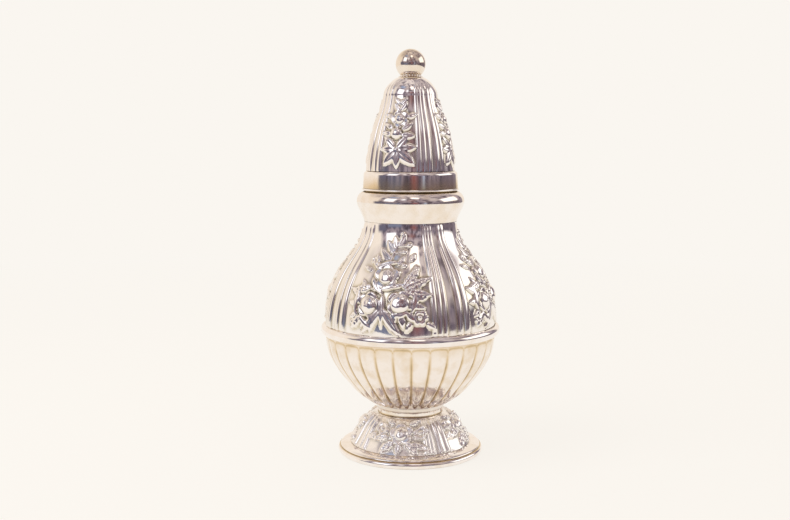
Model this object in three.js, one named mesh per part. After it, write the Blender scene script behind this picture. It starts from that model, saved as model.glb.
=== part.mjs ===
// Baluster caster in thin silver: a domed foot, a gadrooned bowl, a pear-shaped upper body with
// a bulged neck ring, and a tall lift-off cover with a ball finial.
// Millimetres, +Z up, origin at the centre of the face that the foot stands on.
// Every piece is turned or raised about the same upright axis.

import * as THREE from 'three';

// ---- Driving dimensions ----

// Heights of the stacked pieces, from the table up.
const footRimHeight = 3.0;
const footStepHeight = 1.6;
const footDomeHeight = 14.2;
const waistHeight = 2.3;
const bowlCollarHeight = 2.6;
const bowlHeight = 33.9;
const bodyHeight = 52.2;
const neckHeight = 13.7;
const neckBulgeRise = 9.2;
const coverRimHeight = 1.0;
const coverBandHeight = 8.0;
const domeHeight = 42.9;
const domeShoulderDrop = 8.4;
const finialCollarHeight = 1.2;

// Outside radii.
const footRadius = 34.6;
const waistRadius = 15.0;
const bodyRadius = 40.3;
const neckRadius = 21.9;
const domeShoulderRadius = 12.5;
const domeTopRadius = 6.0;
const ballRadius = 6.95;
const pinRadius = 1.5;

// How far each piece stands outside or inside the one it sits on.
const footLedgeInset = 1.2;
const footDomeInset = 4.8;
const footDomeShoulder = 1.8;
const bowlCollarOverhang = 1.3;
const bowlBaseOverhang = 1.4;
const neckBulge = 3.4;
const neckLipFlare = 0.3;
const bezelFlangeInset = 0.4;
const coverRimOverhang = 0.6;
const coverBandInset = 0.5;
const coverBandTaper = 0.3;
const domeInset = 1.3;
const finialTaper = 1.2;
const pinHeadOverhang = 1.3;

// Sheet, wire and ring sections.
const sheet = 0.7;
const footRimWidth = 3.0;
const footRimBead = 1.2;
const footStepOverlap = 2.6;
const waistWall = 1.6;
const waistFlare = 0.6;
const bowlCollarBulge = 0.4;
const girdleHeight = 4.9;
const girdleDepth = 2.1;
const girdleRise = 1.2;
const bezelSheet = 0.7;
const bezelReach = 18.5;
const bezelFlangeHeight = 0.4;
const sleeveSheet = 0.6;
const sleeveReach = 12.5;
const sleeveFlangeHeight = 0.6;
const pinHeadHeight = 1.0;
const pinReach = 3.0;
const bandShoulder = 1.8;

// Fits.
const solderGap = 0.1;
const sleeveClearance = 0.15;
const restClearance = 0.1;
const pinClearance = 0.1;

const segments = 32;

// ---- Levels that follow from the heights ----

const footStepBase = footRimHeight + solderGap;
const footDomeBase = footStepBase + footStepHeight + solderGap;
const waistBase = footDomeBase + footDomeHeight + solderGap;
const bowlCollarBase = waistBase + waistHeight + solderGap;
const bowlBase = bowlCollarBase + bowlCollarHeight + solderGap;
const bodyBase = bowlBase + bowlHeight + solderGap;
const neckBase = bodyBase + bodyHeight + solderGap;
const bezelSeat = neckBase + neckHeight + solderGap;
const coverBase = bezelSeat + bezelFlangeHeight + restClearance;
const coverBandBase = coverBase + coverRimHeight + solderGap;
const domeBase = coverBandBase + coverBandHeight + solderGap;
const finialCollarBase = domeBase + domeHeight + solderGap;
const ballBase = finialCollarBase + finialCollarHeight + solderGap;

// ---- Radii that follow from the ones they meet ----

const footLedgeRadius = footRadius - footLedgeInset;
const footDomeRadius = footLedgeRadius - footDomeInset;
const footDomeTopRadius = waistRadius + footDomeShoulder;
const bowlCollarRadius = waistRadius + bowlCollarOverhang;
const bowlBaseRadius = waistRadius + bowlBaseOverhang;
const neckBulgeRadius = neckRadius + neckBulge;
const neckLipRadius = neckRadius + neckLipFlare;
const bezelFlangeRadius = neckLipRadius - bezelFlangeInset;
const coverRimRadius = neckLipRadius + coverRimOverhang;
const coverBandRadius = coverRimRadius - coverBandInset;
const coverBandTopRadius = coverBandRadius - coverBandTaper;
const domeRadius = coverBandTopRadius - domeInset;
const finialWaistRadius = domeTopRadius - finialTaper;
const pinHeadRadius = pinRadius + pinHeadOverhang;

// The liner lines the throat of the body and the neck ring.
const bezelRadius = neckRadius - sheet - solderGap;

// ---- Outlines: lists of [radius, height] ----

// Points along a cubic curve that leaves start towards leave and comes to end from arrive.
function curve(start, leave, arrive, end, steps) {
  const [a, b, c, d] = [start, leave, arrive, end].map(([r, z]) => new THREE.Vector2(r, z));
  return new THREE.CubicBezierCurve(a, b, c, d).getPoints(steps).map((p) => [p.x, p.y]);
}

// A point between two corners, at a share of the way across and a share of the way up.
function between([r0, z0], [r1, z1], across, up) {
  return [r0 + across * (r1 - r0), z0 + up * (z1 - z0)];
}

// Points along an arc of an ellipse, from one angle to another in degrees.
function arc(r, z, width, height, from, to, steps) {
  const points = [];
  for (let i = 0; i <= steps; i += 1) {
    const angle = THREE.MathUtils.degToRad(from + ((to - from) * i) / steps);
    points.push([r + width * Math.cos(angle), z + height * Math.sin(angle)]);
  }
  return points;
}

// Closed section of a raised sheet whose outer face rises along the given points.
// A steep end is cut level, and a flat end is cut upright.
function sheetSection(outer, wall = sheet) {
  const last = outer.length - 1;
  const inner = outer.map(([r, z], i) => {
    const [r0, z0] = outer[Math.max(i - 1, 0)];
    const [r1, z1] = outer[Math.min(i + 1, last)];
    const length = Math.hypot(r1 - r0, z1 - z0);
    const steep = Math.abs(z1 - z0) > Math.abs(r1 - r0);
    const inset = [r - (wall * (z1 - z0)) / length, z + (wall * (r1 - r0)) / length];
    if (i > 0 && i < last) return inset;
    return steep ? [inset[0], z] : [r, inset[1]];
  });
  return [...outer, ...inner.reverse()];
}

// ---- Making a piece ----

const part = new THREE.Group();

function silver(color, roughness) {
  return new THREE.MeshStandardMaterial({ color, roughness, metalness: 1 });
}

const polishedSilver = silver(0xd8d2c8, 0.12);
const plainSilver = silver(0xc9c2b6, 0.25);

// Turns a closed section about the upright axis and adds it as a named piece.
function turn(name, section, material) {
  const closed = section[0][0] === 0 ? section : [...section, section[0]];
  const points = closed.map(([r, z]) => new THREE.Vector2(r, z));
  const geometry = new THREE.LatheGeometry(points, segments);
  geometry.rotateX(Math.PI / 2);
  const mesh = new THREE.Mesh(geometry, material.clone());
  mesh.name = name;
  part.add(mesh);
}

// ---- Foot ----

// Half-round wire that the caster stands on, flat underneath.
function footRimWire() {
  const half = footRimHeight / 2;
  const bead = arc(footRadius - footRimBead, half, footRimBead, half, -90, 90, 6);
  const inside = footRadius - footRimWidth;
  turn('foot_rim_wire', [[inside, 0], ...bead, [inside, footRimHeight]], polishedSilver);
}

// Low rounded ledge between the rim wire and the dome.
function footStep() {
  const top = footStepBase + footStepHeight;
  const inside = footDomeRadius - footStepOverlap;
  const edge = [footLedgeRadius, footStepBase];
  const seat = [footDomeRadius + solderGap, top];
  const nose = between(edge, seat, 0, 0.6);
  const slope = between(edge, seat, 0.3, 0.75);
  const under = [inside, top - sheet];
  const bend = [footLedgeRadius - 2 * sheet, footStepBase + footStepHeight / 2 - solderGap];
  const wallFoot = [footLedgeRadius - sheet, footStepBase];
  const section = [wallFoot, ...curve(edge, nose, slope, seat, 5), [inside, top], under, bend];
  turn('foot_step', section, polishedSilver);
}

// Domed foot, raised from sheet, that closes in under the waist.
function footDome() {
  const foot = [footDomeRadius, footDomeBase];
  const crown = [footDomeTopRadius, footDomeBase + footDomeHeight];
  const flare = between(foot, crown, 0.29, 0.27);
  const shoulder = between(foot, crown, 0.4, 0.7);
  const outer = curve(foot, flare, shoulder, crown, 7);
  outer.push([waistRadius - waistWall, crown[1]]);
  turn('foot_dome', sheetSection(outer), polishedSilver);
}

// Short concave spool that joins the foot to the bowl collar.
function footNeck() {
  const top = waistBase + waistHeight;
  const inside = waistRadius - waistWall;
  const foot = [waistRadius + waistFlare, waistBase];
  const head = [waistRadius + waistFlare, top];
  const hollow = waistRadius - waistFlare / 3;
  const side = curve(foot, [hollow, waistBase], [hollow, top], head, 4);
  turn('foot_neck', [[inside, waistBase], ...side, [inside, top]], plainSilver);
}

// ---- Bowl ----

// Round-edged ring under the bowl.
function bowlCollar() {
  const half = bowlCollarHeight / 2;
  const bead = bowlCollarRadius - bowlCollarBulge;
  const edge = arc(bead, bowlCollarBase + half, bowlCollarBulge, half, -90, 90, 6);
  const inside = waistRadius - waistWall;
  const top = bowlCollarBase + bowlCollarHeight;
  turn('bowl_collar', [[inside, bowlCollarBase], ...edge, [inside, top]], polishedSilver);
}

// Lower half of the body, closed at the bottom.
function lowerBowl() {
  const base = [bowlBaseRadius, bowlBase];
  const brim = [bodyRadius, bowlBase + bowlHeight];
  const belly = between(base, brim, 0.36, 0.125);
  const flank = between(base, brim, 1, 0.6);
  const outer = curve(base, belly, flank, brim, 9);
  turn('lower_bowl', sheetSection([[0, bowlBase], ...outer]), polishedSilver);
}

// Half-round wire that covers the seam between the two halves of the body.
function girdleWire() {
  const middle = bodyBase + girdleRise;
  const edge = arc(bodyRadius + solderGap, middle, girdleDepth, girdleHeight / 2, -90, 90, 8);
  turn('girdle_wire', edge, polishedSilver);
}

// Pear-shaped upper half of the body, open at both ends.
function upperBody() {
  const seam = [bodyRadius, bodyBase];
  const mouth = [neckRadius, bodyBase + bodyHeight];
  const shoulder = between(seam, mouth, 0, 0.63);
  const throat = between(seam, mouth, 1, 0.69);
  turn('upper_body', sheetSection(curve(seam, shoulder, throat, mouth, 11)), polishedSilver);
}

// ---- Neck ----

// Bulged ring round the mouth, open on the inside.
function neckMoulding() {
  const foot = [neckRadius, neckBase];
  const bulge = [neckBulgeRadius, neckBase + neckBulgeRise];
  const lip = [neckLipRadius, neckBase + neckHeight];
  const sweep = between(foot, bulge, 0.2, 0.35);
  const swell = between(foot, bulge, 1, 0.7);
  const round = between(bulge, lip, 0, 0.7);
  const turnIn = between(bulge, lip, 0.75, 1);
  const lower = curve(foot, sweep, swell, bulge, 5);
  const upper = curve(bulge, round, turnIn, lip, 4);
  turn('neck_moulding', sheetSection([...lower, ...upper.slice(1)]), polishedSilver);
}

// Straight liner that the cover's sleeve slides in, with a narrow flange over the neck ring.
function neckBezel() {
  const inside = bezelRadius - bezelSheet;
  const bottom = bezelSeat - bezelReach;
  const top = bezelSeat + bezelFlangeHeight;
  const wall = [[inside, bottom], [bezelRadius, bottom], [bezelRadius, bezelSeat]];
  const flange = [[bezelFlangeRadius, bezelSeat], [bezelFlangeRadius, top]];
  turn('neck_bezel', [...wall, ...flange, [inside, top]], plainSilver);
}

// ---- Cover ----

// Thin lip round the lower edge of the cover.
function coverRimWire() {
  const half = coverRimHeight / 2;
  const inside = coverBandRadius - sheet;
  const lip = arc(coverRimRadius - half, coverBase + half, half, half, -90, 90, 4);
  const section = [[inside, coverBase], ...lip, [inside, coverBase + coverRimHeight]];
  turn('cover_rim_wire', section, polishedSilver);
}

// Plain band above the lip, with a rounded shoulder that turns in under the dome.
function coverBand() {
  const top = coverBandBase + coverBandHeight;
  const centre = coverBandTopRadius - bandShoulder;
  const rounding = arc(centre, top - bandShoulder, bandShoulder, bandShoulder, 0, 90, 5);
  const outer = [[coverBandRadius, coverBandBase], ...rounding, [domeRadius - 2 * sheet, top]];
  turn('cover_band', sheetSection(outer), polishedSilver);
}

// Tall bell-shaped cover, closed at the top apart from the hole for the finial's pin.
function coverDome() {
  const top = domeBase + domeHeight;
  const foot = [domeRadius, domeBase];
  const shoulder = [domeShoulderRadius, top - domeShoulderDrop];
  const crown = [domeTopRadius, top];
  const flank = between(foot, shoulder, 0.34, 0.67);
  const waist = between(foot, shoulder, 0.72, 0.655);
  const rise = between(shoulder, crown, 0.03, 0.5);
  const turnIn = between(shoulder, crown, 0.75, 1);
  const lower = curve(foot, flank, waist, shoulder, 8);
  const upper = curve(shoulder, rise, turnIn, crown, 5);
  const hole = [pinRadius + pinClearance, top];
  turn('cover_dome', sheetSection([...lower, ...upper.slice(1), hole]), polishedSilver);
}

// Sleeve that plugs into the neck liner, with a flange soldered inside the lip.
function coverSleeve() {
  const outside = bezelRadius - bezelSheet - sleeveClearance;
  const inside = outside - sleeveSheet;
  const bottom = coverBase - sleeveReach;
  const flangeRadius = coverBandRadius - sheet - solderGap;
  const flangeTop = coverBase + coverRimHeight;
  const flangeBase = flangeTop - sleeveFlangeHeight;
  const wall = [[inside, bottom], [outside, bottom], [outside, flangeBase]];
  const flange = [[flangeRadius, flangeBase], [flangeRadius, flangeTop]];
  turn('cover_sleeve', [...wall, ...flange, [inside, flangeTop]], plainSilver);
}

// ---- Finial ----

// Small concave ring between the dome and the ball.
function finialCollar() {
  const top = finialCollarBase + finialCollarHeight;
  const foot = [domeTopRadius, finialCollarBase];
  const head = [finialWaistRadius, top];
  const hollow = between(foot, head, 1, 0.3);
  const hole = pinRadius + pinClearance;
  const side = curve(foot, hollow, hollow, head, 4);
  turn('finial_collar', [[hole, finialCollarBase], ...side, [hole, top]], polishedSilver);
}

// Pin through the collar, with its riveted head inside the cover.
function finialPin() {
  const headTop = finialCollarBase - 2 * solderGap - sheet;
  const headBase = headTop - pinHeadHeight;
  const tip = ballBase + pinReach;
  const head = [[0, headBase], [pinHeadRadius, headBase], [pinHeadRadius, headTop]];
  const shank = [[pinRadius, headTop], [pinRadius, tip], [0, tip]];
  turn('finial_pin', [...head, ...shank], plainSilver);
}

// Hollow ball of two raised halves, soldered together at the middle.
function finialBall() {
  const mouth = finialWaistRadius + solderGap;
  const centre = ballBase + Math.sqrt(ballRadius ** 2 - mouth ** 2);
  const start = -THREE.MathUtils.radToDeg(Math.acos(mouth / ballRadius));
  const seam = THREE.MathUtils.radToDeg(solderGap / 2 / ballRadius);
  const lower = arc(0, centre, ballRadius, ballRadius, start, -seam, 5);
  turn('finial_ball_lower', sheetSection(lower), polishedSilver);
  const hollow = ballRadius - sheet;
  const poleStart = 78;
  const poles = [[0, centre + hollow], [0, centre + ballRadius]];
  const inside = arc(0, centre, hollow, hollow, poleStart, seam, 6);
  const outside = arc(0, centre, ballRadius, ballRadius, seam, poleStart, 6);
  turn('finial_ball_upper', [poles[0], ...inside, ...outside, poles[1]], polishedSilver);
}

footRimWire();
footStep();
footDome();
footNeck();
bowlCollar();
lowerBowl();
girdleWire();
upperBody();
neckMoulding();
neckBezel();
coverRimWire();
coverBand();
coverDome();
coverSleeve();
finialCollar();
finialPin();
finialBall();

export default part;
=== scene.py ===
import math

import bpy
import numpy as np
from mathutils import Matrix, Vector


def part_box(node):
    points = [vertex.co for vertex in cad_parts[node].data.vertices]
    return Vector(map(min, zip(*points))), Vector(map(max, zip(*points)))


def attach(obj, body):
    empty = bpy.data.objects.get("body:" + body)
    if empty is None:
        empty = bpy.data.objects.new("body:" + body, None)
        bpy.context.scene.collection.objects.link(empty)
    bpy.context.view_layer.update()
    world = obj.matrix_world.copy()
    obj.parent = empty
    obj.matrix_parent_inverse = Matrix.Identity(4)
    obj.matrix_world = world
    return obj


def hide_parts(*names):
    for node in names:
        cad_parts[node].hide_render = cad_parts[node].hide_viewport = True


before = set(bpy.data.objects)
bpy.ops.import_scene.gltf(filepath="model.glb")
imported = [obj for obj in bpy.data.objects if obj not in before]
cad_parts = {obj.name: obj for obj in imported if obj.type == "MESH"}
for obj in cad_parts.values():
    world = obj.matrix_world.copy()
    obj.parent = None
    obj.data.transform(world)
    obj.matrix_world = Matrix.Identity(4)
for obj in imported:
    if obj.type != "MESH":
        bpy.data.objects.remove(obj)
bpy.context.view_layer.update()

# ---- Camera ----
# A normal lens half a metre in front of the caster, a little above its middle, tipped down.

bpy.ops.object.select_all(action="DESELECT")
camera_tilt = math.radians(83.422)
bpy.ops.object.camera_add(location=(-0.00728, -0.5007, 0.1494), rotation=(camera_tilt, 0, 0))
camera = bpy.context.object
camera.name = "camera"
camera.data.lens = 48.46
camera.data.sensor_width = 36
bpy.context.scene.camera = camera
bpy.context.scene.view_settings.view_transform = "Standard"


# ---- Studio ----
# The caster stands on a pale table that ends in front of it. The silver mirrors that table, a
# cream wall on the left and behind, and a dim room in front with a few soft windows.

def linear(hex_colour, strength=1.0):
    """An sRGB hex colour as linear red, green, blue and alpha, made brighter by a factor."""
    channels = [int(hex_colour[i:i + 2], 16) / 255 for i in (1, 3, 5)]
    straight = [c / 12.92 if c <= 0.04045 else ((c + 0.055) / 1.055) ** 2.4 for c in channels]
    return [strength * c for c in straight] + [1]


def add_node(tree, kind, inputs=None, **settings):
    """Adds a node with its settings; an input takes a value, or the socket that feeds it."""
    made = tree.nodes.new(kind)
    for name, value in settings.items():
        setattr(made, name, value)
    for socket, value in (inputs or {}).items():
        if isinstance(value, bpy.types.NodeSocket):
            tree.links.new(value, made.inputs[socket])
        else:
            made.inputs[socket].default_value = value
    return made


def fill_ramp(ramp_node, stops):
    """Sets a colour ramp to the given places and colours."""
    ramp = ramp_node.color_ramp
    while len(ramp.elements) < len(stops):
        ramp.elements.new(0.5)
    for element, (place, colour) in zip(ramp.elements, stops):
        element.position = place
        element.color = linear(colour)


paper = bpy.data.materials.new("pale_matt_table")
paper.use_nodes = True
paper.node_tree.nodes.clear()
# Mostly its own even glow, so that only the softest shadow shows on it near the caster.
pale_colour = "#FAF6F0"
spot = add_node(paper.node_tree, "ShaderNodeTexCoord").outputs["Object"]
away = add_node(paper.node_tree, "ShaderNodeVectorMath", {0: spot}, operation="LENGTH").outputs["Value"]
far = add_node(paper.node_tree, "ShaderNodeMapRange", {"Value": away, "From Min": 0.25, "From Max": 0.85})
glow = add_node(paper.node_tree, "ShaderNodeEmission", {"Color": linear(pale_colour), "Strength": 0.83})
matt = add_node(paper.node_tree, "ShaderNodeBsdfDiffuse", {"Color": linear("#7E7C79")})
both = add_node(paper.node_tree, "ShaderNodeAddShader", {0: glow.outputs[0], 1: matt.outputs[0]})
plain = add_node(paper.node_tree, "ShaderNodeEmission", {"Color": linear(pale_colour)})
ground_look = add_node(paper.node_tree, "ShaderNodeMixShader", {
    "Fac": far.outputs[0], 1: both.outputs[0], 2: plain.outputs[0]})
add_node(paper.node_tree, "ShaderNodeOutputMaterial", {"Surface": ground_look.outputs[0]})

for name, size, place in (("table", 2.4, (-0.2, 0.38, 0)), ("far_floor", 24, (0, 0, -0.0006))):
    bpy.ops.object.select_all(action="DESELECT")
    bpy.ops.mesh.primitive_plane_add(size=size, location=place)
    bpy.ops.object.transform_apply(location=True, rotation=False, scale=False)
    ground = bpy.context.object
    ground.name = name
    ground.data.materials.append(paper)
# The floor beyond the table only fills the view; the silver sees the dim room there.
ground.visible_glossy = False
ground.visible_shadow = False

world = bpy.data.worlds.new("dim_room")
bpy.context.scene.world = world
world.use_nodes = True
room = world.node_tree
room.nodes.clear()
way = add_node(room, "ShaderNodeTexCoord").outputs["Generated"]


def patch(below, turn, rise, wide, high, colour, strength, soft):
    """Lays a soft-edged rectangle over the room. turn and rise say where its middle is, in
    degrees from the front and from level; wide and high are its half sizes in degrees."""
    t, r = math.radians(turn), math.radians(rise)
    ahead = (math.sin(t) * math.cos(r), -math.cos(t) * math.cos(r), math.sin(r))
    right = (math.cos(t), math.sin(t), 0)
    up = (-math.sin(t) * math.sin(r), math.cos(t) * math.sin(r), math.cos(r))
    depth = add_node(room, "ShaderNodeVectorMath", {0: way, 1: ahead},
                     operation="DOT_PRODUCT").outputs["Value"]
    front = add_node(room, "ShaderNodeMath", {0: depth, 1: 0.02}, operation="MAXIMUM").outputs[0]
    insides = []
    for axis, half in ((right, wide), (up, high)):
        along = add_node(room, "ShaderNodeVectorMath", {0: way, 1: axis},
                         operation="DOT_PRODUCT").outputs["Value"]
        slope = add_node(room, "ShaderNodeMath", {0: along, 1: front}, operation="DIVIDE").outputs[0]
        size = add_node(room, "ShaderNodeMath", {0: slope}, operation="ABSOLUTE").outputs[0]
        reach = math.tan(math.radians(half))
        insides.append(add_node(room, "ShaderNodeMapRange", {
            "Value": size, "From Min": reach + soft, "From Max": reach - soft}).outputs[0])
    inside = add_node(room, "ShaderNodeMath", {0: insides[0], 1: insides[1]},
                      operation="MULTIPLY").outputs[0]
    mixed = add_node(room, "ShaderNodeMix", {0: inside, 6: below, 7: linear(colour, strength)},
                     data_type="RGBA")
    return mixed.outputs[2]


# Furniture and walls: darker near the floor, a pale ceiling, and upright blotches of colour.
height = add_node(room, "ShaderNodeSeparateXYZ", {0: way}).outputs[2]
walls = add_node(room, "ShaderNodeValToRGB", {"Fac": height})
fill_ramp(walls, [(0.0, "#857B85"), (0.25, "#B0A6AC"), (0.55, "#BFB3B6"), (0.85, "#CEC2BE"),
                  (0.97, "#F2E9E1")])
upright = add_node(room, "ShaderNodeMapping", {"Vector": way, "Scale": (1, 1, 0.45)})
clutter = add_node(room, "ShaderNodeTexNoise", {
    "Vector": upright.outputs[0], "Scale": 7.5, "Detail": 4.0, "Distortion": 0.3})
shade = add_node(room, "ShaderNodeValToRGB", {"Fac": clutter.outputs["Fac"]})
fill_ramp(shade, [(0.36, "#726A74"), (0.46, "#B2AEBE"), (0.54, "#F0EAF0"), (0.64, "#FFFFFF")])
blotched = add_node(room, "ShaderNodeMix", {0: 0.9, 6: walls.outputs[0], 7: shade.outputs[0]},
                    data_type="RGBA", blend_type="MULTIPLY").outputs[2]
# The room goes over to the cream wall behind and on the left.
wall_turn = math.radians(-146)
wall_way = (math.sin(wall_turn), -math.cos(wall_turn), 0.12)
facing = add_node(room, "ShaderNodeVectorMath", {0: way, 1: wall_way},
                  operation="DOT_PRODUCT").outputs["Value"]
beside = add_node(room, "ShaderNodeMapRange", {
    "Value": facing, "From Min": 0.30, "From Max": 0.42}).outputs[0]
below_top = add_node(room, "ShaderNodeMapRange", {
    "Value": height, "From Min": 0.95, "From Max": 0.55}).outputs[0]
beside = add_node(room, "ShaderNodeMath", {0: beside, 1: below_top}, operation="MULTIPLY").outputs[0]
sights = add_node(room, "ShaderNodeMix", {0: beside, 6: blotched, 7: linear("#F9EFE3")}, data_type="RGBA")
sights = sights.outputs[2]
# Turn, rise, half width, half height, colour, brightness and softness of the edge.
for seen_thing in (
    # Red, grey and blue things in the room.
    (8, 4, 6, 6, "#8C5450", 1.0, 0.1),
    (-74, 4, 11, 8, "#6C6A7C", 1.0, 0.06),
    (104, 0, 24, 4, "#766A74", 1.0, 0.06),
    (-40, -2, 18, 5, "#7A8098", 1.0, 0.06),
    (31, 0, 3, 8, "#A8B0C4", 1.0, 0.03),
    (2, 26, 6, 5, "#8F625E", 1.0, 0.1),
    (56, 36, 10, 14, "#CDC2C0", 1.0, 0.12),
    (-68, 40, 6, 5, "#77757F", 1.0, 0.06),
    (-52, 57, 9, 5, "#A0AFCE", 1.0, 0.08),
    # Windows.
    (-49, 31, 12, 14, "#F6F8FF", 1.6, 0.04),
    (-17, 38, 4, 7, "#F2F2F8", 1.3, 0.04),
    (12, 57, 7, 8, "#FFF6F0", 1.7, 0.03),
    (98, 22, 24, 13, "#FFFDFA", 1.5, 0.05),
):
    sights = patch(sights, *seen_thing)
seen = add_node(room, "ShaderNodeBackground", {"Color": sights, "Strength": 1.0})
pale = add_node(room, "ShaderNodeBackground", {"Color": linear(pale_colour), "Strength": 1.0})
soft_light = add_node(room, "ShaderNodeBackground", {"Color": linear("#FFFBF5"), "Strength": 0.7})
ray = add_node(room, "ShaderNodeLightPath")
unseen = add_node(room, "ShaderNodeMixShader", {
    "Fac": ray.outputs["Is Glossy Ray"], 1: soft_light.outputs[0], 2: seen.outputs[0]})
final = add_node(room, "ShaderNodeMixShader", {
    "Fac": ray.outputs["Is Camera Ray"], 1: unseen.outputs[0], 2: pale.outputs[0]})
add_node(room, "ShaderNodeOutputWorld", {"Surface": final.outputs[0]})

bpy.ops.object.select_all(action="DESELECT")
bpy.ops.object.light_add(type="AREA", location=(-0.55, -0.25, 0.75))
key = bpy.context.object
key.name = "soft_key"
key.data.size = 0.5
key.data.energy = 1.6
key.rotation_mode = "QUATERNION"
key.rotation_quaternion = (key.location - Vector((0, 0, 0.05))).to_track_quat("Z", "Y")
# It only lays a faint shadow on the table; the silver does not mirror it.
key.visible_glossy = False


# ---- Foot rim wire ----
# The drawn half-round wire that the caster stands on, bent to a ring and soldered.
# Along the table its lowest fifth of a millimetre is coloured much darker and duller.

MM = 0.001


def turned(name, outline, steps, closed=True):
    """Turns an outline of (radius, height) points in metres about the upright axis."""
    bpy.ops.object.select_all(action="DESELECT")
    bpy.ops.mesh.primitive_circle_add(vertices=len(outline), radius=0.01)
    piece = bpy.context.object
    piece.name = name
    piece.data.name = name
    for vertex, (radius, height) in zip(piece.data.vertices, outline):
        vertex.co = (radius, 0, height)
    if not closed:
        bpy.ops.object.mode_set(mode="EDIT")
        bpy.ops.mesh.select_all(action="DESELECT")
        bpy.ops.object.mode_set(mode="OBJECT")
        for edge in piece.data.edges:
            edge.select = set(edge.vertices) == {0, len(outline) - 1}
        bpy.ops.object.mode_set(mode="EDIT")
        bpy.ops.mesh.select_mode(type="EDGE")
        bpy.ops.mesh.delete(type="EDGE")
        bpy.ops.object.mode_set(mode="OBJECT")
    bpy.ops.object.modifier_add(type="SCREW")
    screw = piece.modifiers[-1]
    screw.axis = "Z"
    screw.steps = steps
    screw.render_steps = steps
    screw.use_merge_vertices = True
    screw.merge_threshold = 1e-6
    bpy.ops.object.modifier_apply(modifier=screw.name)
    bpy.ops.object.mode_set(mode="EDIT")
    bpy.ops.mesh.select_mode(type="VERT")
    bpy.ops.mesh.select_all(action="SELECT")
    bpy.ops.mesh.remove_doubles(threshold=1e-6)
    bpy.ops.mesh.delete_loose()
    bpy.ops.mesh.select_all(action="SELECT")
    bpy.ops.mesh.normals_make_consistent(inside=False)
    bpy.ops.object.mode_set(mode="OBJECT")
    bpy.ops.object.shade_smooth_by_angle(angle=math.radians(40))
    return piece


def arc(middle, wide, high, first, last, count):
    """Points along an arc of an ellipse, between two angles in degrees."""
    angle = np.radians(np.linspace(first, last, count))
    return np.stack([middle[0] + wide * np.cos(angle), middle[1] + high * np.sin(angle)], 1)


def level(node):
    """A CAD node's outer radius and its lowest and highest level, in millimetres."""
    low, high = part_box(node)
    return high.x / MM, low.z / MM, high.z / MM


def silver(name, polish, stain, waver, thin="#E4CEAC", thick="#9C8252", powder=0.0):
    """Silver of 800 fineness: nearly white, mirror bright where it is buffed, darker where
    tarnish is left. polish is the roughness, stain the tarnish all over, waver the depth
    in millimetres by which the buffed surface wanders, thin and thick the tarnish colours,
    powder how much dried white polish is left on it."""
    material = bpy.data.materials.new(name)
    material.use_nodes = True
    tree = material.node_tree
    tree.nodes.clear()
    place = add_node(tree, "ShaderNodeTexCoord").outputs["Object"]
    # The tarnish attribute also carries painted shade in the waist's corner and a painted dim reflection on
    # the lower ends of the body's reeds.
    hollow = add_node(tree, "ShaderNodeAttribute", attribute_name="tarnish").outputs["Fac"]
    # Blotches of thin tarnish, 6 mm across.
    blotch = add_node(tree, "ShaderNodeTexNoise", {"Vector": place, "Scale": 1 / 0.006, "Detail": 4.0})
    bloom = add_node(tree, "ShaderNodeMapRange", {
        "Value": blotch.outputs["Fac"], "From Min": 0.42, "From Max": 0.75, "To Min": 0.0, "To Max": stain})
    film = add_node(tree, "ShaderNodeMath", {0: hollow, 1: bloom.outputs[0]},
                    operation="ADD", use_clamp=True)
    tint = add_node(tree, "ShaderNodeValToRGB", {"Fac": film.outputs[0]})
    fill_ramp(tint, [(0.0, "#FBF5F1"), (0.3, thin), (0.65, thick), (1.0, "#3C3428")])
    # Polishing hairlines are finer than can be seen; they are drawn 0.5 mm apart so that they
    # soften the mirror unevenly.
    hair = add_node(tree, "ShaderNodeTexNoise", {"Vector": place, "Scale": 1 / 0.0005, "Detail": 2.0})
    rough = add_node(tree, "ShaderNodeMapRange", {
        "Value": hair.outputs["Fac"], "From Min": 0.3, "From Max": 0.7,
        "To Min": polish * 0.7, "To Max": polish * 1.3})
    dull = add_node(tree, "ShaderNodeMath", {0: film.outputs[0], 1: 0.35, 2: rough.outputs[0]},
                    operation="MULTIPLY_ADD", use_clamp=True)
    # The buffed sheet wanders over 9 mm from the planishing hammer.
    planish = add_node(tree, "ShaderNodeTexNoise", {"Vector": place, "Scale": 1 / 0.009, "Detail": 1.0})
    bump = add_node(tree, "ShaderNodeBump", {
        "Height": planish.outputs["Fac"], "Strength": 1.0, "Distance": waver * MM})
    metal = add_node(tree, "ShaderNodeBsdfPrincipled", {
        "Base Color": tint.outputs["Color"], "Roughness": dull.outputs[0],
        "Normal": bump.outputs["Normal"], "Metallic": 1.0 - powder})
    add_node(tree, "ShaderNodeOutputMaterial", {"Surface": metal.outputs[0]})
    return material


bright_silver = silver("buffed_silver", polish=0.07, stain=0.12, waver=0.12)


def finish_piece(piece, body, nodes, material):
    """Gives a piece its silver, ties it to its body, and hides the CAD nodes it stands for."""
    piece.data.materials.clear()
    piece.data.materials.append(material)
    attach(piece, body)
    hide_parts(*nodes)


def metres(points):
    """A list of points in millimetres as metres."""
    return [(float(r) * MM, float(z) * MM) for r, z in points]


def tarnish_and_shade_by(piece, amount):
    """Stores, for each point, its tarnish and any painted shade as one value; amount takes x, y and z in
    millimetres.
    """
    mesh = piece.data
    places = np.empty(len(mesh.vertices) * 3, np.float32)
    mesh.vertices.foreach_get("co", places)
    x, y, z = places.reshape(-1, 3).T / MM
    value = np.clip(amount(x, y, z) + np.zeros_like(x), 0, 1)
    layer = mesh.attributes.new("tarnish", "FLOAT", "POINT")
    layer.data.foreach_set("value", value.astype(np.float32))


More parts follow.
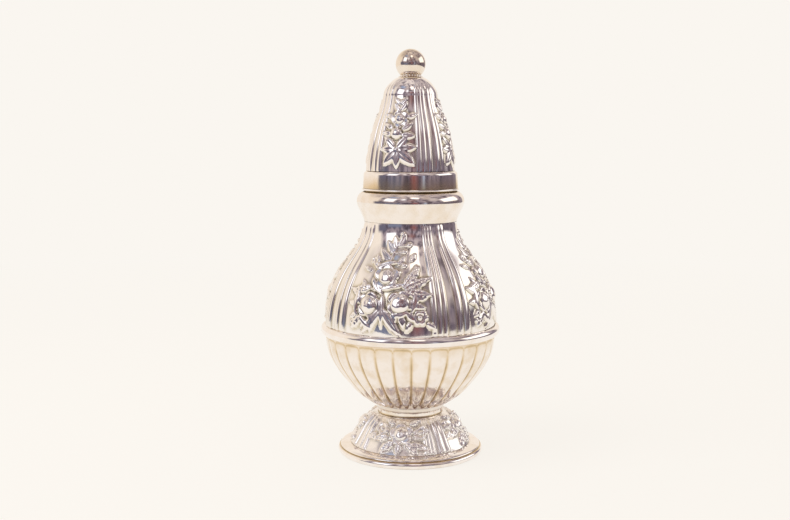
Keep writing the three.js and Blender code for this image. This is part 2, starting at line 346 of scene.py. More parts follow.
rim_radius, rim_low, rim_high = level("foot_rim_wire")
rim_half = (rim_high - rim_low) / 2
rim_bead = 1.3
rim_width = 3.0
rim_inside = rim_radius - rim_width
rim_outline = [
    (rim_inside, rim_low),
    *arc((rim_radius - rim_bead, rim_low + rim_half), rim_bead, rim_half, -90, 90, 15),
    (rim_inside, rim_high),
]
foot_rim = turned("foot_rim", metres(rim_outline), 192)
tarnish_and_shade_by(foot_rim, lambda x, y, z: 0.75 * (z < rim_low + 0.2) + 0.35 * (z > rim_high - 0.25))
finish_piece(foot_rim, "base", ["foot_rim_wire"], bright_silver)


# ---- Foot ledge ----
# A low rounded step of sheet between the rim wire and the domed foot, with a dark line of
# old polish in the seam under it.

def curve(start, leave, arrive, end, count):
    """Points along a cubic curve, both ends among them."""
    t = np.linspace(0, 1, count)[:, None]
    a, b, c, d = (np.array(point, float) for point in (start, leave, arrive, end))
    return (1 - t) ** 3 * a + 3 * (1 - t) ** 2 * t * b + 3 * (1 - t) * t ** 2 * c + t ** 3 * d


sheet = 0.7
ledge_radius, ledge_low, ledge_high = level("foot_step")
dome_radius, foot_low, foot_high = level("foot_dome")
ledge_rise = ledge_high - ledge_low
ledge_run = ledge_radius - dome_radius
ledge_nose = (ledge_radius, ledge_low + 0.6 * ledge_rise)
ledge_slope = (ledge_radius - 0.3 * ledge_run, ledge_low + 0.75 * ledge_rise)
ledge_overlap = 2.6
ledge_inside = dome_radius - ledge_overlap
ledge_outline = [
    (ledge_radius - sheet, ledge_low),
    *curve((ledge_radius, ledge_low), ledge_nose, ledge_slope, (dome_radius, ledge_high), 16),
    (ledge_inside, ledge_high),
    (ledge_inside, ledge_high - sheet),
    (ledge_radius - 2 * sheet, ledge_low + sheet),
]
foot_ledge = turned("foot_ledge", metres(ledge_outline), 192)
tarnish_and_shade_by(foot_ledge, lambda x, y, z: (
    0.4 * (z < ledge_low + 0.3) + 0.15 * (np.hypot(x, y) < dome_radius + 0.4)))
finish_piece(foot_ledge, "base", ["foot_step"], bright_silver)


# ---- Domed foot ----
# Raised from sheet and chased: four panels of flowers, and between them upright reeds and
# a flute. The hollows keep their dark tarnish, as the polishing cloth only reaches the tops.

def ease(x, start, end):
    """Rises smoothly from 0 at start to 1 at end."""
    t = np.clip((x - start) / (end - start), 0, 1)
    return t * t * (3 - 2 * t)


def about(x, y, spot, angle):
    """Coordinates about a spot, with the first axis turned to an angle in degrees."""
    a = math.radians(angle)
    dx, dy = x - spot[0], y - spot[1]
    return dx * math.cos(a) + dy * math.sin(a), dy * math.cos(a) - dx * math.sin(a)


def rose(x, y, spot, size, angle=0, heart=0.6, count=5):
    """A cabbage rose: a smooth round heart inside a ring of cupped petals with rolled edges."""
    px, py = about(x, y, spot, angle)
    px, py = px / size, py / size
    reach = np.hypot(px, py)
    swirl = 0.06 * np.cos(2 * np.arctan2(py, px) + 7 * reach)
    ball = np.sqrt(np.clip(1 - (reach / heart) ** 2, 0, 1))
    high = np.where(reach < heart, 0.30 + (0.70 + swirl) * ball, 0)
    for k in range(count):
        a = math.tau * k / count
        qx = px * math.cos(a) + py * math.sin(a) - 0.62
        qy = py * math.cos(a) - px * math.sin(a)
        edge = np.hypot(qx / 0.40, qy / 0.50)
        cup = 0.40 + 0.24 * np.clip(qx / 0.40, -1, 1) - 0.08 * (qy / 0.50) ** 2 + 0.04 * math.cos(3 * k)
        high = np.maximum(high, cup * ease(edge, 1.0, 0.78))
    return high


def leaf(x, y, spot, length, width, angle, bend=0.0, teeth=0):
    """A pointed leaf with a sunk midrib and, if asked, a scalloped edge with side veins."""
    px, py = about(x, y, spot, angle)
    t = px / length
    py = py - bend * length * t * (1 - t)
    inner = np.clip(t, 0, 1)
    half = width / 2 * np.sin(math.pi * inner ** 0.75) ** 0.8
    scallop = np.abs(np.sin(math.pi * teeth * inner)) if teeth else 1
    q = np.abs(py) / np.maximum(half * (0.84 + 0.16 * scallop), 1e-3)
    crown = np.sqrt(np.clip(1 - q ** 2, 0, 1))
    midrib = 0.26 * np.exp(-(py / (0.06 * width + 0.12)) ** 2)
    veins = 0.08 * np.cos(math.tau * (t * teeth - q * 0.7)) if teeth else 0
    return np.where((t > 0) & (t < 1) & (q < 1), crown * (0.9 - midrib + veins), 0)


def daisy(x, y, spot, size, petals=5, angle=0):
    """A small open flower with round petals and a ball for its eye."""
    px, py = about(x, y, spot, angle)
    d = np.hypot(px, py) / size
    lobes = np.abs(np.cos(petals * np.arctan2(py, px) / 2))
    reach = 0.72 + 0.28 * lobes ** 0.6
    petal = (0.35 + 0.5 * np.clip(d / reach, 0, 1)) * ease(d / reach, 1.0, 0.85)
    petal *= 0.72 + 0.28 * lobes ** 0.5
    eye = 0.95 * np.sqrt(np.clip(1 - (d / 0.30) ** 2, 0, 1))
    ditch = 1 - 0.55 * np.exp(-((d - 0.34) / 0.07) ** 2)
    return np.maximum(petal * ditch, eye)


def stem(x, y, spots, width):
    """A rounded stalk through a few spots."""
    high = np.zeros_like(x)
    for (x0, y0), (x1, y1) in zip(spots[:-1], spots[1:]):
        run, rise = x1 - x0, y1 - y0
        t = np.clip(((x - x0) * run + (y - y0) * rise) / (run * run + rise * rise), 0, 1)
        off = np.hypot(x - x0 - t * run, y - y0 - t * rise)
        high = np.maximum(high, np.sqrt(np.clip(1 - (off / width) ** 2, 0, 1)))
    return high


def bud(x, y, spot, size):
    """A round bud."""
    return np.sqrt(np.clip(1 - ((x - spot[0]) ** 2 + (y - spot[1]) ** 2) / size ** 2, 0, 1))


def reeds(angle, edges, flute):
    """Half-round upright reeds between the given edges, and a hollow flute, in degrees."""
    high = np.zeros_like(angle)
    for left, right in zip(edges[:-1], edges[1:]):
        t = (angle - (left + right) / 2) / ((right - left) / 2)
        if (left, right) == flute:
            high = np.where(np.abs(t) < 1, -0.45 * np.cos(math.pi / 2 * t) ** 0.8, high)
        else:
            high = np.maximum(high, np.sqrt(np.clip(1 - t * t, 0, 1)))
    return high


def soften(grid, across, along):
    """Blurs a grid that wraps round across its columns, by so many cells each way."""
    for cells, axis in ((across, 1), (along, 0)):
        reach = max(int(2.5 * cells), 1)
        weights = np.exp(-0.5 * (np.arange(-reach, reach + 1) / max(cells, 0.3)) ** 2)
        weights /= weights.sum()
        if axis == 1:
            grid = sum(w * np.roll(grid, k - reach, axis=1) for k, w in enumerate(weights))
        else:
            padded = np.pad(grid, ((reach, reach), (0, 0)), mode="edge")
            grid = sum(w * padded[k:k + len(grid)] for k, w in enumerate(weights))
    return grid


def chase(piece, outer, repeats, middle, relief, deep, film=None, cell=0.12, sheet_blur=0.13, spread=0.12):
    """Chases a relief into a piece's outer face. outer is its outline from the bottom up,
    in millimetres. relief takes the angle from the panel's middle in degrees, the distance
    across from there and the distance up the outline in millimetres, and gives millimetres.
    It repeats round the piece. deep is how strongly its hollows darken; film adds tarnish,
    and on the body's reeds a painted dim reflection, by the angle and the distance up."""
    outer = np.array(outer)
    up = np.concatenate([[0], np.cumsum(np.hypot(*np.diff(outer, axis=0).T))])
    sector = 360 / repeats
    rows = int(up[-1] / cell) + 1
    columns = int(math.radians(sector) * outer[:, 0].max() / cell)
    angles = (np.arange(columns) / columns - 0.5) * sector
    ups = np.linspace(0, up[-1], rows)
    angle, high = np.meshgrid(angles, ups)
    radius = np.interp(high, up, outer[:, 0])
    depth = soften(relief(angle, np.radians(angle) * radius, high), sheet_blur / cell, sheet_blur / cell)
    hollow = soften(depth, 1.0 / cell, 1.0 / cell) - depth
    # Tarnish sits where the surface lies lower than what is round it.
    dark = soften(np.clip(hollow * deep, 0, 1), spread / cell, spread / cell)
    if film:
        dark = np.clip(dark + film(angle, high), 0, 1)

    mesh = piece.data
    count = len(mesh.vertices)
    places = np.empty(count * 3, np.float32)
    normals = np.empty(count * 3, np.float32)
    mesh.vertices.foreach_get("co", places)
    mesh.vertex_normals.foreach_get("vector", normals)
    places = places.reshape(-1, 3).astype(float)
    normals = normals.reshape(-1, 3).astype(float)
    x, y, z = places.T / MM
    off = np.abs(np.hypot(x, y) - np.interp(z, outer[:, 1], outer[:, 0]))
    outside = (off < 0.01) & (z > outer[0, 1] - 0.001) & (z < outer[-1, 1] + 0.001)
    # The rim rows move level, so that the edge stays on the piece it stands on.
    rim = outside & ((z < outer[0, 1] + 0.001) | (z > outer[-1, 1] - 0.001))
    normals[rim, 2] = 0
    turn = (np.degrees(np.arctan2(x, -y)) - middle + sector / 2) % sector
    column = turn / sector * columns
    row = np.clip(np.interp(z, outer[:, 1], up) / up[-1] * (rows - 1), 0, rows - 1.001)
    c0, r0 = np.floor(column).astype(int), np.floor(row).astype(int)
    fc, fr = column - c0, row - r0

    def sampled(grid):
        first = grid[r0, c0 % columns] * (1 - fc) + grid[r0, (c0 + 1) % columns] * fc
        second = grid[r0 + 1, c0 % columns] * (1 - fc) + grid[r0 + 1, (c0 + 1) % columns] * fc
        return np.where(outside, first * (1 - fr) + second * fr, 0)

    places += normals * (sampled(depth) * MM)[:, None]
    mesh.vertices.foreach_set("co", places.astype(np.float32).ravel())
    layer = mesh.attributes.new("tarnish", "FLOAT", "POINT")
    layer.data.foreach_set("value", sampled(dark).astype(np.float32))
    mesh.update()


def walled(outer, wall, rows):
    """A closed outline: the outer face, and the inner face of the sheet with fewer points."""
    outer = np.array(outer)
    ends = np.linspace(0, len(outer) - 1, rows).round().astype(int)
    slope = np.gradient(outer, axis=0)[ends]
    slope /= np.linalg.norm(slope, axis=1)[:, None]
    inner = outer[ends] + wall * np.stack([-slope[:, 1], slope[:, 0]], 1)
    for end in (0, -1):
        steep = abs(slope[end][1]) > abs(slope[end][0])
        inner[end][1 if steep else 0] = outer[ends[end]][1 if steep else 0]
    return [*outer, *inner[::-1]]


def share(start, end, across, up):
    """A point between two corners, at a share of the way across and of the way up."""
    return (start[0] + across * (end[0] - start[0]), start[1] + up * (end[1] - start[1]))


spool_bore = 13.4
foot_crown = (16.8, foot_high)
foot_start = (dome_radius, foot_low)
foot_outer = curve(foot_start, share(foot_start, foot_crown, 0.29, 0.27),
                   share(foot_start, foot_crown, 0.4, 0.7), foot_crown, 64)
foot_line = [*foot_outer, (spool_bore, foot_high)]
# Panels of flowers round the foot, body and cover, and the front one's middle in degrees.
panel_count = 4
front_panel = -15
reed_edges = (28.2, 31.9, 35.5, 39.0, 46.0, 50.6, 56.6)
reed_flute = (39.0, 46.0)


def reed_side(angle):
    """The angle on the side of the panel where its reeds are."""
    return (angle + 65) % 90 + 25


def foot_relief(angle, across, up):
    """A rose between two daisies over a spray of leaves, and reeds with a flute beside it."""
    edges = (*reed_edges[:4], 43.2, 50.4, reed_edges[-1])
    flute = (edges[3], edges[4])
    ribs = 0.85 * reeds(reed_side(angle), edges, flute)
    flowers = [
        1.9 * rose(across, up, (1.6, 10.2), 5.6, 30, 0.54),
        1.5 * daisy(across, up, (10.4, 10.6), 3.8, 5, 15),
        1.5 * daisy(across, up, (-8.0, 12.0), 3.6, 5, 50),
    ]
    # Broad leaves under the rose, and smaller ones that fill the panel.
    for spot, length, width, way, bend in (
        ((-1.4, 6.2), 8.6, 4.8, 222, -0.15), ((4.4, 6.0), 8.2, 4.2, -44, 0.15),
        ((0.9, 5.4), 5.2, 4.2, -92, 0.0), ((6.6, 5.6), 9.4, 3.8, -22, 0.15),
        ((-4.4, 8.4), 8.6, 3.8, 196, -0.15), ((4.6, 15.0), 5.4, 3.4, 32, -0.2),
        ((-2.2, 15.0), 5.4, 3.4, 148, 0.2), ((-10.6, 9.2), 5.4, 3.4, 214, 0.1),
    ):
        flowers.append(1.5 * leaf(across, up, spot, length, width, way, bend, teeth=3))
    ends = ease(up, 0.0, 0.9) * ease(up, up.max(), up.max() - 1.6)
    return (np.maximum.reduce(flowers) + ribs) * ends


domed_foot = turned("domed_foot", metres(walled(foot_line, sheet, 12)), 440)
chase(domed_foot, foot_outer, panel_count, front_panel, foot_relief, deep=0.65, sheet_blur=0.16)
# The foot is handled most, so its mirror is softer than the body's, and polish dries on it.
foot_silver = silver("worn_chased_silver", polish=0.13, stain=0.0, waver=0.08,
                     thin="#DDD6CA", thick="#8F8574", powder=0.14)
finish_piece(domed_foot, "base", ["foot_dome"], foot_silver)


# ---- Waist ----
# A short upright spool soldered between the foot and the bowl. Towards the corner round
# its foot it is darker: golden-brown tarnish, and painted shade in that corner.

neck_radius, waist_low, waist_high = level("foot_neck")
waist_foot = (neck_radius, waist_low)
waist_head = (neck_radius, waist_high)
waist_hollow = neck_radius - 0.3
waist_line = curve(waist_foot, (waist_hollow, waist_low), (waist_hollow, waist_high), waist_head, 12)
waist_outline = [(spool_bore, waist_low), *waist_line, (spool_bore, waist_high)]
waist = turned("waist", metres(waist_outline), 160)
# Painted shade in the corner round the foot, over golden-brown tarnish: darker towards the bottom.
tarnish_and_shade_by(waist, lambda x, y, z: 0.05 + 0.4 * ease(z, waist_low + 0.9, waist_low))
finish_piece(waist, "base", ["foot_neck"], bright_silver)


# ---- Bowl collar ----
# A slightly convex ring round the bottom of the bowl, where the foot is soldered on. Dried
# polish clouds it.

collar_radius, collar_low, collar_high = level("bowl_collar")
collar_half = (collar_high - collar_low) / 2
collar_bulge = 0.4
collar_middle = (collar_radius - collar_bulge, collar_low + collar_half)
collar_edge = arc(collar_middle, collar_bulge, collar_half, -90, 90, 18)
collar_outline = [(spool_bore, collar_low), *collar_edge, (spool_bore, collar_high)]
collar = turned("collar", metres(collar_outline), 160)
tarnish_and_shade_by(collar, lambda x, y, z: 0.06 + 0.2 * ease(z, collar_low + 0.4, collar_low))
collar_silver = silver("handled_silver", polish=0.10, stain=0.1, waver=0.12, powder=0.42)
finish_piece(collar, "base", ["bowl_collar"], collar_silver)


# ---- Gadrooned bowl ----
# The lower half of the body, raised from sheet. Thirty shallow lobes with round tops run
# down to the collar, with yellow-brown tarnish in the grooves between them.

bowl_radius, bowl_low, bowl_high = level("lower_bowl")
bowl_start = (16.4, bowl_low)
bowl_brim = (bowl_radius, bowl_high)
bowl_outer = curve(bowl_start, share(bowl_start, bowl_brim, 0.36, 0.125),
                   share(bowl_start, bowl_brim, 1, 0.6), bowl_brim, 112)
lobe_count = 30
# The angle of one lobe's middle, in degrees.
front_lobe = 6


def gadroons(angle, across, up):
    """One long lobe with a round top, flat across its middle, that narrows to the collar."""
    t = angle * lobe_count / 180
    wide = np.abs(across) / np.maximum(np.abs(t), 1e-6)
    wide = np.where(np.abs(t) < 1e-6, 0, wide)
    wide = np.max(wide, axis=1, keepdims=True)
    top = up.max() - 2.4 - 1.4 * (1 - np.sqrt(np.clip(1 - t ** 4, 0, 1)))
    edge = np.clip(wide * (1 - np.abs(t)) / 1.1, 0, 1)
    lobe = 0.55 * np.sqrt(1 - (1 - edge) ** 2) + (0.40 + 0.45 * ease(up, 18, 9)) * edge * (1 - t * t)
    return lobe * (0.75 + 0.25 * ease(up, 2, 12)) * ease(up, 0.0, 1.0) * ease(top - up, -1, 9)


def gadroon_film(angle, up):
    """A thin film all over, and a fine brown line along the round tops of the lobes. Their
    lower ends are rubbed cleaner."""
    t = angle * lobe_count / 180
    top = up.max() - 2.0 - 1.4 * (1 - np.sqrt(np.clip(1 - t ** 4, 0, 1)))
    arch = 0.22 * np.exp(-((top - up) / 0.45) ** 2)
    return 0.04 + arch + 0.1 * ease(up, up.max() - 9, up.max()) - 0.5 * ease(up, 9, 1)


bowl_section = walled([(0.0, bowl_low), (7.0, bowl_low), *bowl_outer], sheet, 14)
bowl = turned("gadrooned_bowl", metres(bowl_section), 480)
chase(bowl, bowl_outer, lobe_count, front_lobe, gadroons, deep=1.9, film=gadroon_film, spread=0.3)
gadroon_silver = silver("gadrooned_silver", polish=0.09, stain=0.16, waver=0.08)
finish_piece(bowl, "base", ["lower_bowl"], gadroon_silver)


# ---- Girdle ----
# A half-round drawn wire soldered over the seam between the two halves of the body.

girdle_radius, girdle_low, girdle_high = level("girdle_wire")
girdle_inside = bowl_radius + 0.1
girdle_half = (girdle_high - girdle_low) / 2
girdle_line = arc((girdle_inside, girdle_low + girdle_half), girdle_radius - girdle_inside,
                  girdle_half, -90, 90, 21)
girdle = turned("girdle", metres(girdle_line), 240)
tarnish_and_shade_by(girdle, lambda x, y, z: 0.5 * (np.hypot(x, y) < girdle_inside + 0.25))
finish_piece(girdle, "base", ["girdle_wire"], bright_silver)


# ---- Chased body ----
# The pear-shaped upper half, raised from sheet and chased with four bouquets of roses,
# leaves and a climbing sprig, divided by bundles of reeds with a flute between them.

body_radius, body_low, body_high = level("upper_body")
mouth_radius = 21.9
mouth = (mouth_radius, body_high)
seam = (body_radius, body_low)
body_outer = curve(seam, share(seam, mouth, 0, 0.63), share(seam, mouth, 1, 0.69), mouth, 146)


def bouquet(angle, across, up):
    """Three roses with leaves all round, a sprig that climbs to the neck, and the reeds."""
    u, v = across, up
    parts = [
        2.1 * rose(u, v, (-2.4, 30.7), 6.0, 20, 0.58),
        2.1 * rose(u, v, (-9.7, 17.3), 6.3, 75, 0.60),
        2.2 * rose(u, v, (4.8, 18.5), 6.2, 140, 0.66),
        1.2 * daisy(u, v, (14.0, 12.4), 3.8, 6),
        1.0 * bud(u, v, (4.7, 36.5), 1.3),
        0.9 * bud(u, v, (3.8, 43.4), 1.1),
        0.9 * bud(u, v, (5.6, 46.8), 1.1),
        0.9 * bud(u, v, (2.6, 51.6), 1.1),
        0.7 * stem(u, v, [(-2.4, 35.5), (-1.4, 41.0), (0.2, 46.0), (2.2, 50.8)], 0.5),
        0.6 * stem(u, v, [(-1.0, 42.5), (3.4, 43.2)], 0.45),
        0.6 * stem(u, v, [(0.2, 46.0), (5.2, 46.6)], 0.45),
    ]
    # Broad scalloped leaves behind the roses.
    for spot, length, width, way, bend in (
        ((5.6, 25.0), 12.5, 5.6, 63, -0.12), ((6.4, 24.6), 12.6, 5.8, 27, 0.10),
        ((6.6, 23.4), 12.2, 5.2, -6, 0.12), ((-9.2, 25.8), 9.6, 4.8, 192, 0.22),
        ((-14.4, 21.0), 6.8, 4.0, 150, -0.2), ((-4.4, 34.6), 6.6, 3.8, 150, 0.2),
        ((-13.2, 12.6), 8.8, 4.2, 228, 0.12), ((10.6, 17.6), 6.0, 3.6, -12, 0.2),
    ):
        parts.append(1.35 * leaf(u, v, spot, length, width, way, bend, teeth=5))
    # Rolled petals that curl round the outside of the roses.
    for spot, length, width, way, bend in (
        ((-15.0, 22.6), 10.5, 3.0, 262, -0.35), ((11.2, 23.8), 10.5, 3.0, -98, 0.35),
        ((-7.8, 34.2), 11.0, 3.0, 20, 0.35), ((-8.6, 29.8), 8.0, 2.6, -62, -0.3),
        ((3.4, 33.8), 8.6, 2.8, -112, -0.3), ((-14.0, 12.4), 9.0, 2.8, -42, -0.3),
        ((1.0, 13.4), 8.4, 2.8, 10, -0.3), ((-4.4, 24.6), 7.4, 2.6, 8, 0.25),
    ):
        parts.append(1.6 * leaf(u, v, spot, length, width, way, bend))
    # Small leaves and flowers that fill the gaps.
    for spot, length, width, way in (
        ((-12.0, 24.6), 5.0, 2.8, 118), ((-16.2, 17.4), 5.2, 3.0, 176), ((-15.4, 13.6), 5.4, 3.0, 210),
        ((-5.2, 24.4), 4.4, 2.4, 176), ((1.6, 26.0), 4.6, 2.6, 20), ((9.6, 31.6), 5.2, 2.8, 84),
        ((2.0, 36.4), 5.6, 3.0, 66), ((11.6, 20.4), 5.6, 3.0, 10), ((17.4, 10.0), 4.6, 2.6, -40),
        ((10.4, 10.4), 5.0, 2.8, -120), ((-9.6, 10.6), 5.4, 3.0, 216), ((-1.0, 12.6), 6.8, 2.6, -70),
        ((-7.0, 37.6), 4.6, 2.6, 110), ((-10.4, 33.6), 4.8, 2.6, 160), ((7.2, 38.4), 4.6, 2.6, 70),
    ):
        parts.append(1.05 * leaf(u, v, spot, length, width, way, teeth=3))
    parts.append(1.0 * daisy(u, v, (-17.2, 8.8), 2.6, 5, 20))
    parts.append(0.9 * daisy(u, v, (-9.6, 38.6), 2.0, 5, 0))
    # Smooth blades that fall from between the lower roses, and four low ones on the sprig.
    for spot, length, width, way, bend in (
        ((-4.0, 16.0), 14.4, 4.8, 232, 0.10), ((-3.0, 16.0), 14.6, 4.8, -54, -0.10),
        ((-3.5, 22.5), 15.0, 2.8, -90, 0.0), ((-6.4, 12.6), 8.2, 2.8, 250, 0.05),
        ((2.8, 13.6), 5.8, 3.4, -104, 0.0), ((5.4, 13.4), 6.2, 3.6, -76, 0.0),
        ((8.2, 14.4), 5.8, 3.4, -44, 0.0), ((-3.6, 22.6), 5.6, 2.6, 128, 0.1),
    ):
        parts.append(1.35 * leaf(u, v, spot, length, width, way, bend))
    for spot, length, width, way, bend in (
        ((-1.6, 38.5), 8.6, 4.4, 132, 0.18), ((-1.2, 42.6), 7.0, 3.8, 118, -0.15),
        ((0.0, 45.0), 6.4, 3.4, 100, 0.15), ((1.0, 46.0), 6.4, 3.2, 66, -0.15),
    ):
        parts.append(0.8 * leaf(u, v, spot, length, width, way, bend))
    flowers = np.maximum.reduce(parts) * ease(v, 4.0, 5.2)
    ribs = reeds(reed_side(angle), reed_edges, reed_flute) * (0.5 + 0.5 * ease(up, 52, 14))
    return flowers + ribs * ease(up, 3.2, 4.2) * ease(up, up.max(), up.max() - 3)


def reed_tarnish_and_dim_reflection(angle, up):
    """Painted darker on the lower ends of the reeds: a little tarnish, and a painted reflection of the dim
    warm room.
    """
    side = reed_side(angle)
    return 0.05 * ease(up, 30, 14) * (side > reed_edges[0]) * (side < reed_edges[-1])


chased_silver = silver("chased_silver", polish=0.06, stain=0.05, waver=0.10,
                       thin="#DAD0BC", thick="#6F6757")
body = turned("chased_body", metres(walled(body_outer, sheet, 12)), 560)
# On the body the film paints a dim reflection, as well as tarnish, on the reeds' lower ends.
chase(body, body_outer, panel_count, front_panel, bouquet, deep=1.1, film=reed_tarnish_and_dim_reflection)
finish_piece(body, "base", ["upper_body"], chased_silver)


# ---- Neck ring ----
# A plain bulged ring of sheet round the mouth, buffed to a mirror.

ring_radius, ring_low, ring_high = level("neck_moulding")
ring_rise = 9.2
lip_flare = 0.3
ring_foot = (mouth_radius, ring_low)
ring_bulge = (ring_radius, ring_low + ring_rise)
ring_lip = (mouth_radius + lip_flare, ring_high)
ring_lower = curve(ring_foot, share(ring_foot, ring_bulge, 0.2, 0.35),
                   share(ring_foot, ring_bulge, 1, 0.7), ring_bulge, 26)
ring_upper = curve(ring_bulge, share(ring_bulge, ring_lip, 0, 0.7),
                   share(ring_bulge, ring_lip, 0.75, 1), ring_lip, 16)
ring = turned("neck_ring", metres(walled([*ring_lower, *ring_upper[1:]], sheet, 22)), 224)
tarnish_and_shade_by(ring, lambda x, y, z: 0.05 + 0.3 * ease(z, ring_high - 0.5, ring_high))
finish_piece(ring, "base", ["neck_moulding"], bright_silver)


# ---- Neck liner ----
# A straight tube soldered inside the mouth, with a thin flange over the ring. The cover's
# sleeve slides in it, which keeps it dull.

dull_silver = silver("rubbed_silver", polish=0.24, stain=0.15, waver=0.05)
liner_radius, liner_low, liner_high = level("neck_bezel")
liner_tube = 21.1
liner_bore = liner_tube - 0.7
flange_low = liner_high - 0.4
liner_outline = [
    (liner_bore, liner_low), (liner_tube, liner_low), (liner_tube, flange_low),
    (liner_radius, flange_low), (liner_radius, liner_high), (liner_bore, liner_high),
]
liner = turned("neck_liner", metres(liner_outline), 160)
tarnish_and_shade_by(liner, lambda x, y, z: 0.35 + 0.35 * (z > flange_low - 0.1))
finish_piece(liner, "base", ["neck_bezel"], dull_silver)


# ---- Cover lip ----
# The thin wire round the cover's lower edge, which meets the neck's flange.

lip_radius, lip_low, lip_high = level("cover_rim_wire")
band_radius, band_low, band_high = level("cover_band")
lip_half = (lip_high - lip_low) / 2
lip_edge = arc((lip_radius - lip_half, lip_low + lip_half), lip_half, lip_half, -90, 90, 12)
lip_inside = band_radius - sheet
lip = turned("cover_lip", metres([(lip_inside, lip_low), *lip_edge, (lip_inside, lip_high)]), 200)
tarnish_and_shade_by(lip, lambda x, y, z: 0.4 * (np.hypot(x, y) < lip_radius - lip_half))
finish_piece(lip, "cover", ["cover_rim_wire"], bright_silver)


# ---- Cover band ----
# A plain band with a soft shoulder that turns in under the dome.

dome_wide, dome_low, dome_high = level("cover_dome")
shoulder = 1.8
band_top = 22.0
band_edge = arc((band_top - shoulder, band_high - shoulder), shoulder, shoulder, 0, 90, 12)
band_line = [(band_radius, band_low), *band_edge, (dome_wide - 2 * sheet, band_high)]
band = turned("cover_band_ring", metres(walled(band_line, sheet, 14)), 200)
tarnish_and_shade_by(band, lambda x, y, z: (
    0.4 * ease(z, band_high - 0.25, band_high) + 0.3 * ease(z, band_low + 0.3, band_low)))
finish_piece(band, "cover", ["cover_band"], bright_silver)


# ---- Chased cover ----
# The tall bell-shaped cover, raised from sheet: the body's reeds run on up it, and each
# panel holds a flower with a star of pointed leaves, a bud, a blossom and a sprig.

crown = (6.0, dome_high)
dome_foot = (dome_wide, dome_low)
dome_shoulder = (12.5, dome_high - 8.4)
dome_lower = curve(dome_foot, share(dome_foot, dome_shoulder, 0.34, 0.67),
                   share(dome_foot, dome_shoulder, 0.72, 0.655), dome_shoulder, 100)
dome_upper = curve(dome_shoulder, share(dome_shoulder, crown, 0.03, 0.5),
                   share(dome_shoulder, crown, 0.75, 1), crown, 34)
dome_outer = np.array([*dome_lower, *dome_upper[1:]])
cover_reed_edges = (22, 28.8, 35.6, 42.6, 48.0, 55.6, 63.4)
cover_flute = (42.6, 48.0)


def posy(angle, across, up):
    """A star of leaves, a bud, a blossom and a sprig, one above the other, and the reeds."""
    u, v = across, up
    parts = [
        1.1 * bud(u, v, (-1.9, 9.8), 1.5),
        1.9 * bud(u, v, (-2.2, 17.4), 2.8),
        1.6 * rose(u, v, (-1.0, 24.2), 4.3, 40, 0.5),
        0.6 * stem(u, v, [(-1.4, 19.0), (-1.2, 26.0), (-1.0, 30.0), (-0.8, 33.0)], 0.45),
    ]
    # A star of broad leaves at the bottom, smaller ones round the bud and up the sprig.
    for spot, length, width, way in (
        ((-2.0, 9.8), 9.0, 5.4, 228), ((-1.4, 9.8), 10.8, 5.6, -40), ((-0.9, 10.2), 8.4, 4.4, 6),
        ((-1.4, 10.6), 7.4, 4.4, 50), ((-2.6, 10.6), 7.6, 4.4, 136), ((-2.8, 10.0), 7.0, 4.2, 178),
        ((-1.8, 9.4), 7.8, 4.2, -88), ((0.2, 16.6), 6.4, 3.6, -4), ((-4.4, 17.0), 4.8, 3.2, 172),
        ((0.4, 19.0), 5.6, 3.2, 34), ((-3.8, 19.6), 5.0, 3.0, 150), ((2.4, 25.0), 4.6, 2.8, 18),
        ((-4.2, 25.0), 4.2, 2.8, 162), ((-0.6, 28.0), 5.0, 2.8, 60), ((-1.4, 28.0), 5.0, 2.8, 124),
        ((-0.9, 31.0), 4.2, 2.4, 48), ((-1.1, 31.0), 4.2, 2.4, 132),
    ):
        parts.append(1.15 * leaf(u, v, spot, length, width, way))
    side = (angle - 22) % 90 + 22
    ribs = reeds(side, cover_reed_edges, cover_flute) * (0.35 + 0.4 * ease(up, 38, 8))
    ribs *= 0.6 + 0.4 * ease(up, 0, 6)
    return (np.maximum.reduce(parts) * ease(up, 0.2, 1.2) + ribs) * ease(up, 43.5, 38)


pin_bore = 1.6
dome_line = [*dome_outer, (pin_bore, dome_high)]
dome = turned("chased_cover", metres(walled(dome_line, sheet, 20)), 400)
chase(dome, dome_outer, panel_count, front_panel, posy, deep=0.9)
finish_piece(dome, "cover", ["cover_dome"], chased_silver)


# ---- Cover sleeve ----
# The tube under the cover that plugs into the neck, rubbed dull by the liner.

sleeve_radius, sleeve_low, sleeve_high = level("cover_sleeve")
sleeve_sheet = 0.6
sleeve_clearance = 0.15
sleeve_tube = liner_bore - sleeve_clearance
sleeve_bore = sleeve_tube - sleeve_sheet
sleeve_flange = sleeve_high - sleeve_sheet
sleeve_outline = [
    (sleeve_bore, sleeve_low), (sleeve_tube, sleeve_low), (sleeve_tube, sleeve_flange),
    (sleeve_radius, sleeve_flange), (sleeve_radius, sleeve_high), (sleeve_bore, sleeve_high),
]
sleeve = turned("sleeve", metres(sleeve_outline), 160)
tarnish_and_shade_by(sleeve, lambda x, y, z: 0.12 + 0.3 * ease(z, sleeve_high - 2, sleeve_high))
finish_piece(sleeve, "cover", ["cover_sleeve"], dull_silver)


# ---- Finial ----
# A small turned ring, a pin riveted inside the cover, and a hollow ball of two raised
# halves whose seam is filed away.

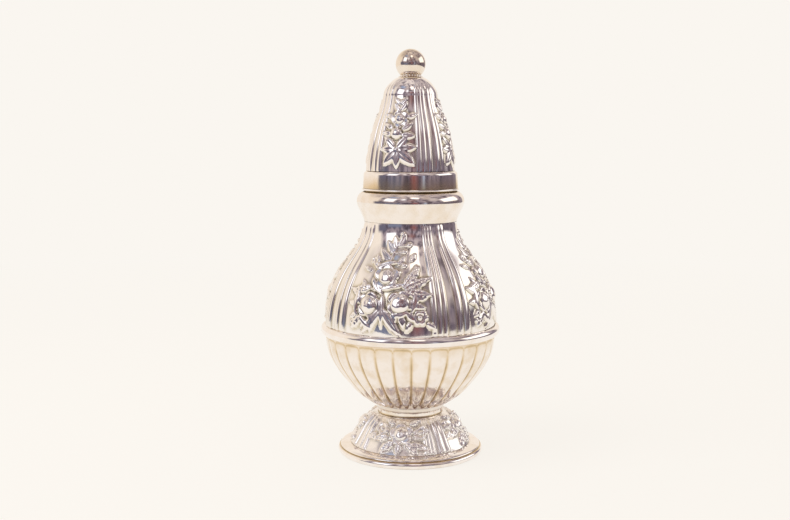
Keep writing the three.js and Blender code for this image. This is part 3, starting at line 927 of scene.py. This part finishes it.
cone_radius, cone_low, cone_high = level("finial_collar")
cone_head = 4.8
cone_bend = (cone_head, cone_low + 0.36)
cone_side = curve((cone_radius, cone_low), cone_bend, cone_bend, (cone_head, cone_high), 16)
bead_count = 22


def beading(angle, across, up):
    """A row of small beads round the ring."""
    across_bead = np.sqrt(np.clip(1 - (angle * bead_count / 180) ** 2, 0, 1))
    return 0.42 * across_bead * np.sin(math.pi * np.clip(up / up.max(), 0, 1))


cone_outline = [(pin_bore, cone_low), *cone_side, (pin_bore, cone_high)]
cone = turned("finial_ring", metres(cone_outline), 352)
chase(cone, cone_side, bead_count, 0, beading, deep=0.7, cell=0.05, sheet_blur=0.06)
finish_piece(cone, "cover", ["finial_collar"], bright_silver)

pin_radius, pin_low, pin_high = level("finial_pin")
pin_shank = 1.5
head_top = pin_low + 1.0
head_bevel = 0.4
tip_bevel = 0.3
pin_outline = [
    (0.0, pin_low), (pin_radius - head_bevel, pin_low), (pin_radius, pin_low + head_bevel),
    (pin_radius, head_top), (pin_shank, head_top),
    (pin_shank, pin_high - tip_bevel), (pin_shank - tip_bevel, pin_high), (0.0, pin_high),
]
pin = turned("pin", metres(pin_outline), 48, closed=False)
tarnish_and_shade_by(pin, lambda x, y, z: 0.5)
finish_piece(pin, "cover", ["finial_pin"], dull_silver)

ball_radius, ball_low, _ = level("finial_ball_lower")
ball_top = level("finial_ball_upper")[2]
ball_middle = ball_top - ball_radius
ball_bore = 4.4
ball_mouth = math.degrees(math.asin((ball_low - ball_middle) / ball_radius))
ball_out = arc((0, ball_middle), ball_radius, ball_radius, ball_mouth, 90, 48)
ball_hollow = arc((0, ball_middle), ball_radius - sheet, ball_radius - sheet, 90, ball_mouth - 4, 16)
ball_out[-1][0] = 0
ball_hollow[0][0] = 0
ball_hollow[-1] = (ball_bore, ball_low)
ball = turned("finial_ball", metres([*ball_out, *ball_hollow]), 96)
tarnish_and_shade_by(ball, lambda x, y, z: 0.12 + 0.2 * ease(z, ball_low + 0.6, ball_low))
finish_piece(ball, "cover", ["finial_ball_lower", "finial_ball_upper"], bright_silver)
